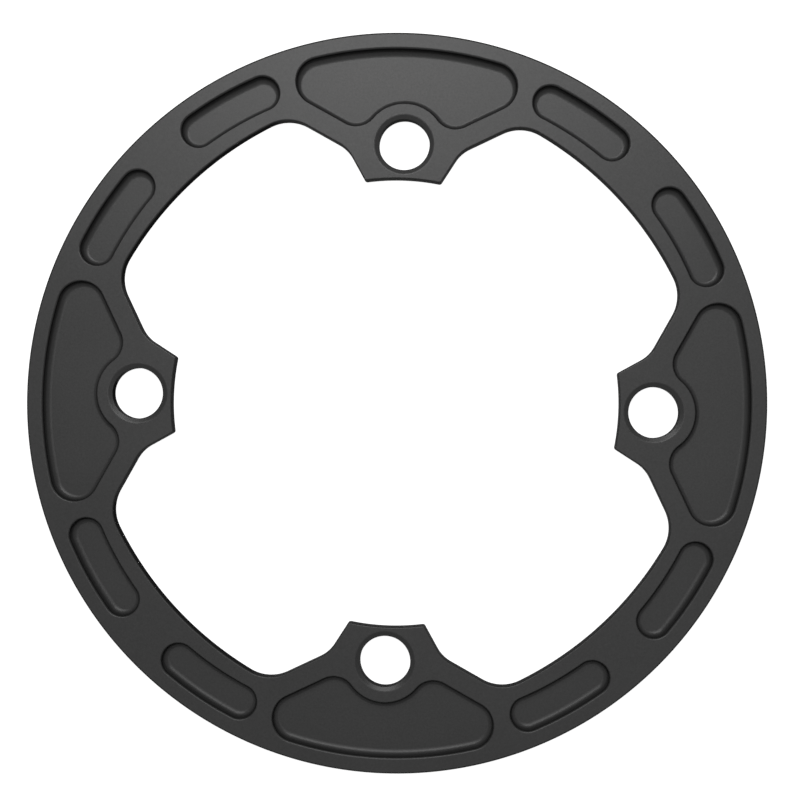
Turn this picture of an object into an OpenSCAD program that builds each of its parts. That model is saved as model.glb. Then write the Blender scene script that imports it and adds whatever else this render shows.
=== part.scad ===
// Chainring guard: one flat ring machined from aluminium plate and anodised black.
// Four tabs reach inwards to the bolt circle of the crank's spider. The front face has a large
// pocket outside each bolt hole, and two small arc-shaped pockets, called slots here, in each
// stretch between the tabs. The back face is flat and seats on the spider.
// The ring lies flat: its axis is Z, its back face is at z = 0 and its front face is up.
// One bolt hole is on each of +X, +Y, -X and -Y.

/* [Ring] */
// Diameter over the rim
rim_d = 149; // [146:0.5:160]
// Thickness of the plate
thickness = 4; // [3.2:0.1:6]
// Bevel on both edges of the rim
rim_bevel = 0.3; // [0.1:0.05:0.6]
// Width of the ring midway between two tabs
ring_w = 13.45; // [12.75:0.1:14.75]

/* [Bolts] */
// Diameter of the circle through the bolt holes
bolt_circle_d = 104; // [102:0.5:105]
// Diameter of each bolt hole
bolt_hole_d = 10.2; // [8:0.1:10.8]
// Bevel at the front of each bolt hole
bolt_hole_bevel = 0.7; // [0.2:0.1:1]

/* [Tabs] */
// Radial distance from a bolt hole's centre to the end of its tab
tab_reach = 6.9; // [6:0.1:8]
// Width across the corners at the end of a tab
tab_end_w = 15.2; // [14:0.1:17]
// Width across a tab's neck, where its sides turn outwards
tab_neck_w = 22.9; // [21:0.1:24]
// Radial distance of the neck inside the bolt hole's centre
tab_neck_drop = 1.1; // [0.4:0.1:1.6]
// Rounding of the corners at the end of a tab
tab_corner_r = 0.6; // [0.3:0.1:1.2]
// Fillet at a tab's neck
tab_neck_r = 7; // [3:0.5:8]

/* [Window] */
// Radius of the long edge between two tabs, which is less curved than a circle about the axis
window_edge_r = 70; // [66:1:80]
// Rounding of the corners between the long edge and a tab's flank
window_corner_r = 8; // [6:0.5:10]
// Slope of a tab's flank from its neck to the corner, in degrees
flank_slope = 27.3; // [26:0.1:29]

/* [Pockets] */
// Depth of the pockets and slots
pocket_depth = 2; // [0.5:0.1:2.8]
// Width of the band left between the rim and the pockets
rim_band = 3.25; // [2.75:0.1:3.75]
// Radius of the land kept round a bolt hole, from the hole's centre
land_r = 8.3; // [7.7:0.1:9]
// Width of the wall between a pocket and its tab's flank
flank_wall = 4.2; // [3.8:0.1:4.6]
// Corner radius at a pocket's two ends
pocket_end_r = 4.8; // [4:0.1:5]
// Corner radius at a pocket's two feet, beside the bolt hole
pocket_foot_r = 4.5; // [3.5:0.1:5]

/* [Slots] */
// Width of each slot
slot_w = 6.9; // [5:0.1:7.6]
// Angle from a tab's centre line to the middle of a slot, in degrees
slot_angle = 31.6; // [31:0.1:32]
// Angle between the centres of a slot's two ends, in degrees
slot_span = 12.6; // [8:0.2:13.4]

/* [Hidden] */

tab_count = 4;
quadrant = 360 / tab_count;
rim_r = rim_d / 2;
bolt_r = bolt_circle_d / 2;
bolt_hole = [0, bolt_r];
axis_point = [0, 0];
// How far a cutter runs past the face that it cuts
overrun = 1;
// Largest distance between an arc and the straight edges that draw it
arc_error = 0.01;
// Points of an outline that are nearer to each other than this are one point
same_point = 0.001;
$fn = 128;

// The window's outline, in a frame whose +Y is a tab's centre line
tab_end_r = bolt_r - tab_reach;
mid_angle = 90 - quadrant / 2;
window_edge_centre = polar(rim_r - ring_w - window_edge_r, mid_angle);
tab_end = [tab_end_w / 2, sqrt(pow(tab_end_r, 2) - pow(tab_end_w / 2, 2))];
tab_neck = [tab_neck_w / 2, bolt_r - tab_neck_drop];
side_slope = angle_of(tab_neck - tab_end);
tab_corner_centre = beside_line(
    tab_end, side_slope, -tab_corner_r, axis_point, tab_end_r + tab_corner_r
);
neck_centre = tab_neck
    + polar(tab_neck_r / cos((side_slope - flank_slope) / 2), (side_slope + flank_slope) / 2 - 90);
window_corner_centre = beside_line(
    tab_neck, flank_slope, window_corner_r, window_edge_centre, window_edge_r - window_corner_r
);
window_turn = angle_of(window_corner_centre - window_edge_centre);

// The large pocket's outline, in the same frame
pocket_outer_r = rim_r - rim_band;
pocket_end_centre = beside_line(
    tab_neck, flank_slope, -flank_wall - pocket_end_r, axis_point, pocket_outer_r - pocket_end_r
);
pocket_foot_centre = beside_line(
    tab_neck, flank_slope, -flank_wall - pocket_foot_r, bolt_hole, land_r + pocket_foot_r
);
pocket_end_angle = angle_of(pocket_end_centre);
pocket_foot_angle = angle_of(pocket_foot_centre - bolt_hole);

slot_r = pocket_outer_r - slot_w / 2;

function polar(r, a) = [r * cos(a), r * sin(a)];
function angle_of(v) = atan2(v.y, v.x);
function turned(p, a) = [p.x * cos(a) - p.y * sin(a), p.x * sin(a) + p.y * cos(a)];

// Centre of a circle that lies d to the right of a line, and r from the point c.
// The line runs from p at slope a, and the centre is the farther of the two that fit.
function beside_line(p, a, d, c, r) =
    let (along = polar(1, a), start = p + polar(d, a - 90), back = start - c, b = back * along)
    start + (sqrt(b * b - back * back + r * r) - b) * along;

// Points along an arc about c, from the angle a0 to the angle a1
function arc(c, r, a0, a1) =
    let (step = 2 * acos(1 - arc_error / r), n = max(2, ceil(abs(a1 - a0) / step)))
    [for (i = [0:n]) c + polar(r, a0 + (a1 - a0) * i / n)];

function distinct(points) =
    let (n = len(points))
    [for (i = [0:n - 1]) if (norm(points[i] - points[(i + 1) % n]) > same_point) points[i]];

// A chain of points that starts on the tab's centre line, with its mirror image before it
function both_sides(half) =
    concat([for (i = [len(half) - 1:-1:1]) [-half[i].x, half[i].y]], half);

// From the middle of a tab's end to the middle of the window's long edge
function half_lobe() = concat(
    arc(axis_point, tab_end_r, 90, angle_of(tab_corner_centre)),
    arc(tab_corner_centre, tab_corner_r, angle_of(tab_corner_centre) - 180, side_slope - 90),
    arc(neck_centre, tab_neck_r, side_slope + 90, flank_slope + 90),
    arc(window_corner_centre, window_corner_r, flank_slope + 90, window_turn),
    arc(window_edge_centre, window_edge_r, window_turn, mid_angle)
);

function window_outline() = distinct([
    for (i = [0:tab_count - 1], p = both_sides(half_lobe())) turned(p, -quadrant * i)
]);

function pocket_outline() = distinct(both_sides(concat(
    arc(axis_point, pocket_outer_r, 90, pocket_end_angle),
    arc(pocket_end_centre, pocket_end_r, pocket_end_angle, flank_slope - 90),
    arc(pocket_foot_centre, pocket_foot_r, flank_slope - 90, pocket_foot_angle - 180),
    arc(bolt_hole, land_r, pocket_foot_angle, 90)
)));

// A slot on the right of the tab's centre line
function slot_outline() =
    let (near = 90 - slot_angle + slot_span / 2, far = 90 - slot_angle - slot_span / 2)
    distinct(concat(
        arc(axis_point, pocket_outer_r, near, far),
        arc(polar(slot_r, far), slot_w / 2, far, far - 180),
        arc(axis_point, pocket_outer_r - slot_w, far, near),
        arc(polar(slot_r, near), slot_w / 2, near + 180, near)
    ));

// Round plate with bevelled edges
module blank() {
    rotate_extrude()
        polygon([
            [0, 0],
            [rim_r - rim_bevel, 0],
            [rim_r, rim_bevel],
            [rim_r, thickness - rim_bevel],
            [rim_r - rim_bevel, thickness],
            [0, thickness]
        ]);
}

// Cutter for the opening inside the ring
module window() {
    translate([0, 0, -overrun])
        linear_extrude(height = thickness + 2 * overrun)
            polygon(window_outline());
}

// Cutter for one bolt hole, with the bevel at its front
module bolt_hole_cutter() {
    translate([bolt_hole.x, bolt_hole.y, -overrun])
        cylinder(h = thickness + 2 * overrun, d = bolt_hole_d);
    translate([bolt_hole.x, bolt_hole.y, thickness - bolt_hole_bevel])
        cylinder(
            h = bolt_hole_bevel + overrun,
            r1 = bolt_hole_d / 2,
            r2 = bolt_hole_d / 2 + bolt_hole_bevel + overrun
        );
}

// Cutter for a recess in the front face
module recess(outline) {
    translate([0, 0, thickness - pocket_depth])
        linear_extrude(height = pocket_depth + overrun)
            polygon(outline);
}

module guard_ring() {
    color([0.16, 0.16, 0.165])
        difference() {
            blank();
            window();
            for (i = [0:tab_count - 1])
                rotate(quadrant * i) {
                    bolt_hole_cutter();
                    recess(pocket_outline());
                    recess(slot_outline());
                    mirror([1, 0, 0])
                        recess(slot_outline());
                }
        }
}

guard_ring();
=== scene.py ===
"""Chainring guard: the finished ring with its edge breaks and cutter fillets, its anodised surface,
a white floor, soft studio light and the camera. Lengths are in metres, angles in radians."""
import math

import bmesh
import bpy
from mathutils import Matrix, Vector


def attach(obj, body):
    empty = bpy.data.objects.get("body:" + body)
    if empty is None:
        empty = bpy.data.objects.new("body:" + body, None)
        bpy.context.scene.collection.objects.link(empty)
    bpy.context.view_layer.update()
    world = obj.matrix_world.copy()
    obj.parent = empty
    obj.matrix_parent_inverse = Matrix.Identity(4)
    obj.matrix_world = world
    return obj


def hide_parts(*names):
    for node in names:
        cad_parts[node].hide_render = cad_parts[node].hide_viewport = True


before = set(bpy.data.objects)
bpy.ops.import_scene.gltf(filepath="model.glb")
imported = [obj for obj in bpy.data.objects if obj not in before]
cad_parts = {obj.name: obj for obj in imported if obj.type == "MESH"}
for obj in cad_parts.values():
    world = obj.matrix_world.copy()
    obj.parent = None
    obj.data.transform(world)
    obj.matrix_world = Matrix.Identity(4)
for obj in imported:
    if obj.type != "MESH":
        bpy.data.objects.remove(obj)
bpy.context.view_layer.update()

MM = 0.001
UP = Vector((0.0, 0.0, 1.0))

# The ring
RIM_R = 74.5 * MM
THICKNESS = 4.0 * MM
RING_W = 13.45 * MM
TABS = 4
QUADRANT = 2 * math.pi / TABS

# The bolts and their tabs
BOLT_R = 52.0 * MM
BOLT_HOLE_R = 5.1 * MM
TAB_REACH = 6.9 * MM
TAB_END_W = 15.2 * MM
TAB_NECK_W = 22.9 * MM
TAB_NECK_DROP = 1.1 * MM
TAB_CORNER_R = 0.6 * MM
TAB_NECK_R = 7.0 * MM

# The window between the tabs
WINDOW_EDGE_R = 70.0 * MM
WINDOW_CORNER_R = 8.0 * MM
FLANK_SLOPE = math.radians(27.3)

# The pockets and slots in the front face
POCKET_DEPTH = 2.0 * MM
RIM_BAND = 3.25 * MM
LAND_R = 8.3 * MM
FLANK_WALL = 4.2 * MM
POCKET_END_R = 4.8 * MM
POCKET_FOOT_R = 4.5 * MM
SLOT_W = 6.9 * MM
SLOT_ANGLE = math.radians(31.6)
SLOT_SPAN = math.radians(12.6)

# Bevels and roundings
RIM_BEVEL = 0.3 * MM
BEVEL_ROUNDING = 0.12 * MM
WINDOW_EDGE_BREAK = 0.3 * MM

# The bolt holes' bevel, wider and shallower than the solid's to come nearer the photo
BOLT_HOLE_BEVEL_W = 0.9 * MM
BOLT_HOLE_BEVEL_DEPTH = 0.35 * MM
BOLT_HOLE_EDGE_ROUNDING = 1.0 * MM
BOLT_HOLE_BACK_BREAK = 0.2 * MM

# The walls of pockets and slots are crisp at the window's side and rounder towards the rim
INNER_EDGE_BREAK = 0.25 * MM
INNER_FLOOR_FILLET = 1.0 * MM
OUTER_EDGE_BREAK = 0.45 * MM
OUTER_FLOOR_FILLET = 1.5 * MM
# Radius from which the roundings start to grow
ROUNDER_FROM_R = 66.0 * MM

# Fineness of the mesh: the largest gap between an arc and its chords, and the steps of a rounding
ARC_ERROR = 0.002 * MM
LEAST_ARC_STEPS = 3
ROUNDING_STEP = math.radians(15)
LEAST_ROUNDING_STEPS = 2
# Points of an outline that are nearer to each other than this are one point
SAME_POINT = 0.001 * MM
# A face's profile starts this far away from the edge that it leads to
FACE_RUN = 5.0 * MM

# The camera looks at the middle of the front face, and its offsets are along the picture's axes.
# A lean is the share of the direction to the camera that points right or up in the picture.
PICTURE_PX = 800
SENSOR_W = 36.0
PX_PER_METRE = 4977.0
CAMERA_DEPTH = 400.0 * MM
CAMERA_ROLL = math.radians(2.15)
CAMERA_LEAN_RIGHT = 0.0379
CAMERA_LEAN_UP = -0.0048
AIM_RIGHT = 1.11 * MM
AIM_UP = 0.57 * MM
CLIP_START = 10.0 * MM

# Places and turns that the outlines share
AXIS = Vector((0.0, 0.0))
BOLT_HOLE = Vector((0.0, BOLT_R))
QUARTER_TURN = math.pi / 2


def polar(radius, angle):
    return Vector((radius * math.cos(angle), radius * math.sin(angle)))


def angle_of(vector):
    return math.atan2(vector.y, vector.x)


def beside_line(point, slope, offset, centre, radius):
    """The point at offset to the right of a line through point, and at radius from centre.

    Of the two that fit, it is the one farther along the line.
    """
    along = polar(1, slope)
    start = point + polar(offset, slope - math.pi / 2)
    back = start - centre
    reach = back.dot(along)
    return start + (math.sqrt(reach ** 2 - back.dot(back) + radius ** 2) - reach) * along


def arc(centre, radius, start, end, side=1):
    """Points of an arc, each with the direction in which the outline grows there.

    side is -1 where the outline's inside is outside the arc's circle.
    """
    step = 2 * math.acos(1 - ARC_ERROR / radius)
    count = max(LEAST_ARC_STEPS, math.ceil(abs(end - start) / step))
    angles = [start + (end - start) * i / count for i in range(count + 1)]
    return [(centre + polar(radius, a), polar(side, a)) for a in angles]


def distinct(outline):
    """The outline without points that repeat the one before them."""
    pairs = zip(outline, outline[1:] + outline[:1])
    return [a for a, b in pairs if (a[0] - b[0]).length > SAME_POINT]


def both_sides(half):
    """A chain that starts on the centre line, with its mirror image before it."""
    def flip(vector):
        return Vector((-vector.x, vector.y))
    return [(flip(point), flip(growth)) for point, growth in half[:0:-1]] + half


def turned(outline, angle):
    turn = Matrix.Rotation(angle, 2)
    return [(turn @ point, turn @ growth) for point, growth in outline]


def tab_neck():
    """The corner where a tab's side turns outwards into its flank."""
    return Vector((TAB_NECK_W / 2, BOLT_R - TAB_NECK_DROP))


def window_outline():
    """The opening inside the ring, from one tab to the next."""
    tab_end_r = BOLT_R - TAB_REACH
    mid_angle = QUARTER_TURN - QUADRANT / 2
    edge_centre = polar(RIM_R - RING_W - WINDOW_EDGE_R, mid_angle)
    tab_end = Vector((TAB_END_W / 2, math.sqrt(tab_end_r ** 2 - (TAB_END_W / 2) ** 2)))
    neck = tab_neck()
    side_slope = angle_of(neck - tab_end)
    corner = beside_line(tab_end, side_slope, -TAB_CORNER_R, AXIS, tab_end_r + TAB_CORNER_R)
    neck_reach = TAB_NECK_R / math.cos((side_slope - FLANK_SLOPE) / 2)
    neck_centre = neck + polar(neck_reach, (side_slope + FLANK_SLOPE) / 2 - QUARTER_TURN)
    edge_corner = beside_line(
        neck, FLANK_SLOPE, WINDOW_CORNER_R, edge_centre, WINDOW_EDGE_R - WINDOW_CORNER_R)
    edge_turn = angle_of(edge_corner - edge_centre)
    half = (
        arc(AXIS, tab_end_r, QUARTER_TURN, angle_of(corner))
        + arc(corner, TAB_CORNER_R, angle_of(corner) - math.pi, side_slope - QUARTER_TURN, side=-1)
        + arc(neck_centre, TAB_NECK_R, side_slope + QUARTER_TURN, FLANK_SLOPE + QUARTER_TURN)
        + arc(edge_corner, WINDOW_CORNER_R, FLANK_SLOPE + QUARTER_TURN, edge_turn)
        + arc(edge_centre, WINDOW_EDGE_R, edge_turn, mid_angle)
    )
    lobe = both_sides(half)
    return distinct([pair for i in range(TABS) for pair in turned(lobe, -QUADRANT * i)])


def pocket_outline():
    """The large pocket outside the bolt hole on +Y."""
    outer_r = RIM_R - RIM_BAND
    end = beside_line(
        tab_neck(), FLANK_SLOPE, -FLANK_WALL - POCKET_END_R, AXIS, outer_r - POCKET_END_R)
    foot = beside_line(
        tab_neck(), FLANK_SLOPE, -FLANK_WALL - POCKET_FOOT_R, BOLT_HOLE, LAND_R + POCKET_FOOT_R)
    foot_angle = angle_of(foot - BOLT_HOLE)
    return distinct(both_sides(
        arc(AXIS, outer_r, QUARTER_TURN, angle_of(end))
        + arc(end, POCKET_END_R, angle_of(end), FLANK_SLOPE - QUARTER_TURN)
        + arc(foot, POCKET_FOOT_R, FLANK_SLOPE - QUARTER_TURN, foot_angle - math.pi)
        + arc(BOLT_HOLE, LAND_R, foot_angle, QUARTER_TURN, side=-1)
    ))


def slot_outline(middle):
    """A small arc-shaped pocket whose middle is at the angle middle."""
    outer_r = RIM_R - RIM_BAND
    end_r = SLOT_W / 2
    near = middle + SLOT_SPAN / 2
    far = middle - SLOT_SPAN / 2
    return distinct(
        arc(AXIS, outer_r, near, far)
        + arc(polar(outer_r - end_r, far), end_r, far, far - math.pi)
        + arc(AXIS, outer_r - SLOT_W, far, near, side=-1)
        + arc(polar(outer_r - end_r, near), end_r, near + math.pi, near)
    )


def circle_outline(centre, radius):
    return distinct(arc(centre, radius, 0, 2 * math.pi))


def rounded_profile(corners, roundings):
    """Rounds a section's corners into steps of (growth, height, normal's growth, normal's height).

    The metal is on the left of the section. Its first and last points only give directions.
    """
    steps = []
    for before, corner, after, radius in zip(corners, corners[1:], corners[2:], roundings):
        into = (Vector(corner) - Vector(before)).normalized()
        out = (Vector(after) - Vector(corner)).normalized()
        turn = math.atan2(into.x * out.y - into.y * out.x, into.dot(out))
        side = math.copysign(1, turn)
        inward = Vector((-into.y, into.x)) * side
        centre = Vector(corner) - into * radius * math.tan(abs(turn) / 2) + inward * radius
        count = max(LEAST_ROUNDING_STEPS, math.ceil(abs(turn) / ROUNDING_STEP))
        for i in range(count + 1):
            spoke = Matrix.Rotation(turn * i / count, 2) @ -inward
            point = centre + spoke * radius
            normal = spoke * side
            steps.append((point.x, point.y, normal.x, normal.y))
    return steps


class Shell:
    """A closed mesh that is built from walls round outlines and the flat faces between them."""

    def __init__(self):
        self.bm = bmesh.new()
        self.normals = []

    def ring(self, outline, steps):
        """Adds a ring of vertices, with the step of each point's own profile."""
        verts = []
        for (point, direction), step in zip(outline, steps):
            growth, height, normal_growth, normal_height = step
            spot = point + direction * growth
            verts.append(self.bm.verts.new((spot.x, spot.y, height)))
            self.normals.append(Vector((*(direction * normal_growth), normal_height)))
        return verts

    def wall(self, outline, profile_at):
        """Adds a wall and returns its first and last rings of vertices.

        profile_at gives the wall's profile at a point of the outline.
        """
        profiles = [profile_at(point) for point, _ in outline]
        rings = [self.ring(outline, steps) for steps in zip(*profiles)]
        for lower, upper in zip(rings, rings[1:]):
            for i in range(len(lower)):
                j = (i + 1) % len(lower)
                self.bm.faces.new((lower[i], lower[j], upper[j], upper[i]))
        return rings[0], rings[-1]

    def face(self, rings):
        """Fills the flat face between a boundary and the holes in it."""
        edges = []
        for ring in rings:
            edges += [self.bm.edges.get((a, b)) for a, b in zip(ring, ring[1:] + ring[:1])]
        bmesh.ops.triangle_fill(self.bm, use_beauty=True, edges=edges, normal=UP)

    def finish(self, name):
        """Turns the shell into an object with the normals that its profiles gave."""
        bmesh.ops.recalc_face_normals(self.bm, faces=self.bm.faces)
        mesh = bpy.data.meshes.new(name)
        self.bm.to_mesh(mesh)
        self.bm.free()
        mesh.shade_smooth()
        mesh.normals_split_custom_set_from_vertices(self.normals)
        piece = bpy.data.objects.new(name, mesh)
        bpy.context.scene.collection.objects.link(piece)
        return piece


def rim_profile(_point):
    """From the back face over the rim to the front face, alike all round."""
    corners = [
        (-FACE_RUN, 0),
        (-RIM_BEVEL, 0),
        (0, RIM_BEVEL),
        (0, THICKNESS - RIM_BEVEL),
        (-RIM_BEVEL, THICKNESS),
        (-FACE_RUN, THICKNESS),
    ]
    return rounded_profile(corners, [BEVEL_ROUNDING] * (len(corners) - 2))


def window_profile(_point):
    """From the front face down the window's wall to the back face, alike all round."""
    corners = [(FACE_RUN, THICKNESS), (0, THICKNESS), (0, 0), (FACE_RUN, 0)]
    return rounded_profile(corners, [WINDOW_EDGE_BREAK, WINDOW_EDGE_BREAK])


def bolt_hole_profile(_point):
    """From the front face over the bevel and down the hole to the back face, alike all round."""
    corners = [
        (FACE_RUN, THICKNESS),
        (BOLT_HOLE_BEVEL_W, THICKNESS),
        (0, THICKNESS - BOLT_HOLE_BEVEL_DEPTH),
        (0, 0),
        (FACE_RUN, 0),
    ]
    return rounded_profile(
        corners, [BOLT_HOLE_EDGE_ROUNDING, BEVEL_ROUNDING, BOLT_HOLE_BACK_BREAK])


def recess_profile(point):
    """From the front face down a pocket's or slot's wall and onto its floor, rounder outwards."""
    floor = THICKNESS - POCKET_DEPTH
    corners = [(FACE_RUN, THICKNESS), (0, THICKNESS), (0, floor), (-FACE_RUN, floor)]
    outer_r = RIM_R - RIM_BAND
    part = min(1, max(0, (point.length - ROUNDER_FROM_R) / (outer_r - ROUNDER_FROM_R)))
    edge_break = INNER_EDGE_BREAK + (OUTER_EDGE_BREAK - INNER_EDGE_BREAK) * part
    fillet = INNER_FLOOR_FILLET + (OUTER_FLOOR_FILLET - INNER_FLOOR_FILLET) * part
    return rounded_profile(corners, [edge_break, fillet])


def build_ring():
    shell = Shell()
    rim_back, rim_front = shell.wall(circle_outline(AXIS, RIM_R), rim_profile)
    window_front, window_back = shell.wall(window_outline(), window_profile)
    front = [rim_front, window_front]
    back = [rim_back, window_back]
    recesses = [pocket_outline()]
    recesses += [slot_outline(QUARTER_TURN + side * SLOT_ANGLE) for side in (-1, 1)]
    for i in range(TABS):
        hole = turned(circle_outline(BOLT_HOLE, BOLT_HOLE_R), QUADRANT * i)
        hole_front, hole_back = shell.wall(hole, bolt_hole_profile)
        front.append(hole_front)
        back.append(hole_back)
        for recess in recesses:
            edge, floor = shell.wall(turned(recess, QUADRANT * i), recess_profile)
            front.append(edge)
            shell.face([floor])
    shell.face(front)
    shell.face(back)
    return shell.finish("ring_black_anodised")


class Nodes:
    """Shorthand for the nodes of one material or world."""

    def __init__(self, tree):
        self.tree = tree
        self.tree.nodes.clear()

    def add(self, kind, **values):
        """Adds a node; a value is set on its input of that name, or else on the node itself."""
        node = self.tree.nodes.new(kind)
        for name, value in values.items():
            label = name.replace("_", " ")
            if label in node.inputs:
                node.inputs[label].default_value = value
            else:
                setattr(node, name, value)
        return node

    def link(self, source, target):
        self.tree.links.new(source, target)


# The anodised surface: its colour and gloss, the blasted grain and the faint clouding
METAL_GREY = 0.038
METALNESS = 0.5
METAL_ROUGHNESS = 0.35
METAL_EDGE_TINT = 0.1
METAL_SPECULAR_LEVEL = 0.0
GRAIN = {"Scale": 2600.0, "Detail": 3.0, "Roughness": 0.6}
GRAIN_CONTRAST = 0.10
CLOUD = {"Scale": 45.0, "Detail": 4.0, "Roughness": 0.55}
CLOUD_CONTRAST = 0.05
PEEN = {"Scale": 1500.0, "Detail": 2.0, "Roughness": 0.5}
PEEN_HEIGHT = 0.009 * MM
PEEN_STRENGTH = 1.0
ROUGHNESS_SWING = 0.05
# Nearly all of a noise texture's values lie between these two
NOISE_LOW = 0.25
NOISE_HIGH = 0.75


def anodised_metal():
    material = bpy.data.materials.new("black_anodised_blasted")
    material.use_nodes = True
    nodes = Nodes(material.node_tree)
    place = nodes.add("ShaderNodeTexCoord").outputs["Object"]
    output = nodes.add("ShaderNodeOutputMaterial")
    surface = nodes.add(
        "ShaderNodeBsdfPrincipled", Metallic=METALNESS, Specular_IOR_Level=METAL_SPECULAR_LEVEL)
    tint = (METAL_EDGE_TINT, METAL_EDGE_TINT, METAL_EDGE_TINT, 1.0)
    surface.inputs["Specular Tint"].default_value = tint
    nodes.link(surface.outputs["BSDF"], output.inputs["Surface"])

    grain = nodes.add("ShaderNodeTexNoise", **GRAIN)
    cloud = nodes.add("ShaderNodeTexNoise", **CLOUD)
    peen = nodes.add("ShaderNodeTexNoise", **PEEN)
    for texture in (grain, cloud, peen):
        nodes.link(place, texture.inputs["Vector"])

    def swing(texture, middle, part):
        """The texture's value spread evenly over middle, plus or minus that part of it."""
        spread = nodes.add("ShaderNodeMapRange")
        spread.inputs["From Min"].default_value = NOISE_LOW
        spread.inputs["From Max"].default_value = NOISE_HIGH
        spread.inputs["To Min"].default_value = middle * (1 - part)
        spread.inputs["To Max"].default_value = middle * (1 + part)
        nodes.link(texture.outputs["Fac"], spread.inputs["Value"])
        return spread.outputs["Result"]

    shade = nodes.add("ShaderNodeMath", operation="MULTIPLY")
    nodes.link(swing(grain, METAL_GREY, GRAIN_CONTRAST), shade.inputs[0])
    nodes.link(swing(cloud, 1.0, CLOUD_CONTRAST), shade.inputs[1])
    nodes.link(shade.outputs["Value"], surface.inputs["Base Color"])
    nodes.link(swing(cloud, METAL_ROUGHNESS, ROUGHNESS_SWING), surface.inputs["Roughness"])

    bump = nodes.add("ShaderNodeBump", Strength=PEEN_STRENGTH, Distance=PEEN_HEIGHT)
    nodes.link(peen.outputs["Fac"], bump.inputs["Height"])
    nodes.link(bump.outputs["Normal"], surface.inputs["Normal"])
    return material


# The floor, which the camera sees as white outside the object's shadow
FLOOR_SIZE = 6.0
FLOOR_GREY = 0.35
FLOOR_GLOW = 0.95
# The floor lies this far below the ring's back, so that the two don't share a plane
FLOOR_DROP = 0.05 * MM
# The room's even light on the object
ROOM_LIGHT = 0.28


def seen_rays(nodes):
    """One for rays from the camera and for mirrored or transmitted rays, and zero for other light."""
    path = nodes.add("ShaderNodeLightPath")
    seen = path.outputs["Is Camera Ray"]
    for name in ("Is Glossy Ray", "Is Transmission Ray"):
        either = nodes.add("ShaderNodeMath", operation="MAXIMUM")
        nodes.link(seen, either.inputs[0])
        nodes.link(path.outputs[name], either.inputs[1])
        seen = either.outputs["Value"]
    return seen


def white_floor():
    """A plain matt floor that catches the ring's shadow."""
    bpy.ops.mesh.primitive_plane_add(size=FLOOR_SIZE, location=(0.0, 0.0, -FLOOR_DROP))
    floor = bpy.context.object
    floor.name = "floor"
    material = bpy.data.materials.new("white_floor")
    material.use_nodes = True
    nodes = Nodes(material.node_tree)
    output = nodes.add("ShaderNodeOutputMaterial")
    matt = nodes.add("ShaderNodeBsdfDiffuse", Color=(FLOOR_GREY, FLOOR_GREY, FLOOR_GREY, 1.0))
    glow = nodes.add("ShaderNodeEmission")
    both = nodes.add("ShaderNodeAddShader")
    scaled = nodes.add("ShaderNodeMath", operation="MULTIPLY")
    scaled.inputs[1].default_value = FLOOR_GLOW
    nodes.link(seen_rays(nodes), scaled.inputs[0])
    nodes.link(scaled.outputs["Value"], glow.inputs["Strength"])
    nodes.link(matt.outputs["BSDF"], both.inputs[0])
    nodes.link(glow.outputs["Emission"], both.inputs[1])
    nodes.link(both.outputs["Shader"], output.inputs["Surface"])
    floor.data.materials.append(material)


def white_world():
    """A world that the camera sees as white and that lights the ring evenly."""
    world = bpy.data.worlds.new("studio")
    world.use_nodes = True
    bpy.context.scene.world = world
    nodes = Nodes(world.node_tree)
    output = nodes.add("ShaderNodeOutputWorld")
    light = nodes.add("ShaderNodeBackground")
    strength = nodes.add("ShaderNodeMath", operation="MAXIMUM")
    strength.inputs[1].default_value = ROOM_LIGHT
    nodes.link(seen_rays(nodes), strength.inputs[0])
    nodes.link(strength.outputs["Value"], light.inputs["Strength"])
    nodes.link(light.outputs["Background"], output.inputs["Surface"])


def softbox(name, place, width, height, power):
    """A rectangular lamp at place that faces the middle of the ring."""
    lamp = bpy.data.lights.new(name, "AREA")
    lamp.shape = "RECTANGLE"
    lamp.size = width
    lamp.size_y = height
    lamp.energy = power
    box = bpy.data.objects.new(name, lamp)
    box.location = place
    box.rotation_euler = (-Vector(place)).to_track_quat("-Z", "Y").to_euler()
    box.visible_camera = False
    bpy.context.scene.collection.objects.link(box)


def studio_light():
    """A strong lamp above the picture's top edge, an even one overhead and a faint near one."""
    softbox("softbox_top", place=(-0.025, 0.24, 0.50), width=0.40, height=0.25, power=1.65)
    softbox("softbox_overhead", place=(0.0, 0.02, 0.90), width=0.50, height=0.50, power=1.10)
    softbox("softbox_near", place=(-0.02, 0.12, 0.22), width=0.10, height=0.08, power=0.08)


def photo_camera():
    """The camera at the photograph's place, with the ring leaning as it does there."""
    right = Vector((*polar(1, CAMERA_ROLL), 0.0))
    up = Vector((*polar(1, CAMERA_ROLL + QUARTER_TURN), 0.0))
    rise = math.sqrt(1 - CAMERA_LEAN_RIGHT ** 2 - CAMERA_LEAN_UP ** 2)
    toward_camera = right * CAMERA_LEAN_RIGHT + up * CAMERA_LEAN_UP + UP * rise
    aim = UP * THICKNESS + right * AIM_RIGHT + up * AIM_UP
    across = up.cross(toward_camera).normalized()
    along = toward_camera.cross(across)
    data = bpy.data.cameras.new("camera")
    data.sensor_width = SENSOR_W
    data.lens = SENSOR_W * PX_PER_METRE * CAMERA_DEPTH / PICTURE_PX
    data.clip_start = CLIP_START
    camera = bpy.data.objects.new("camera", data)
    basis = Matrix((across, along, toward_camera)).transposed().to_4x4()
    camera.matrix_world = Matrix.Translation(aim + toward_camera * CAMERA_DEPTH) @ basis
    bpy.context.scene.collection.objects.link(camera)
    bpy.context.scene.camera = camera


photo_camera()
ring = build_ring()
ring.data.materials.append(anodised_metal())
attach(ring, "root")
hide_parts("guard_ring")
white_floor()
white_world()
studio_light()
bpy.context.scene.view_settings.view_transform = "Standard"
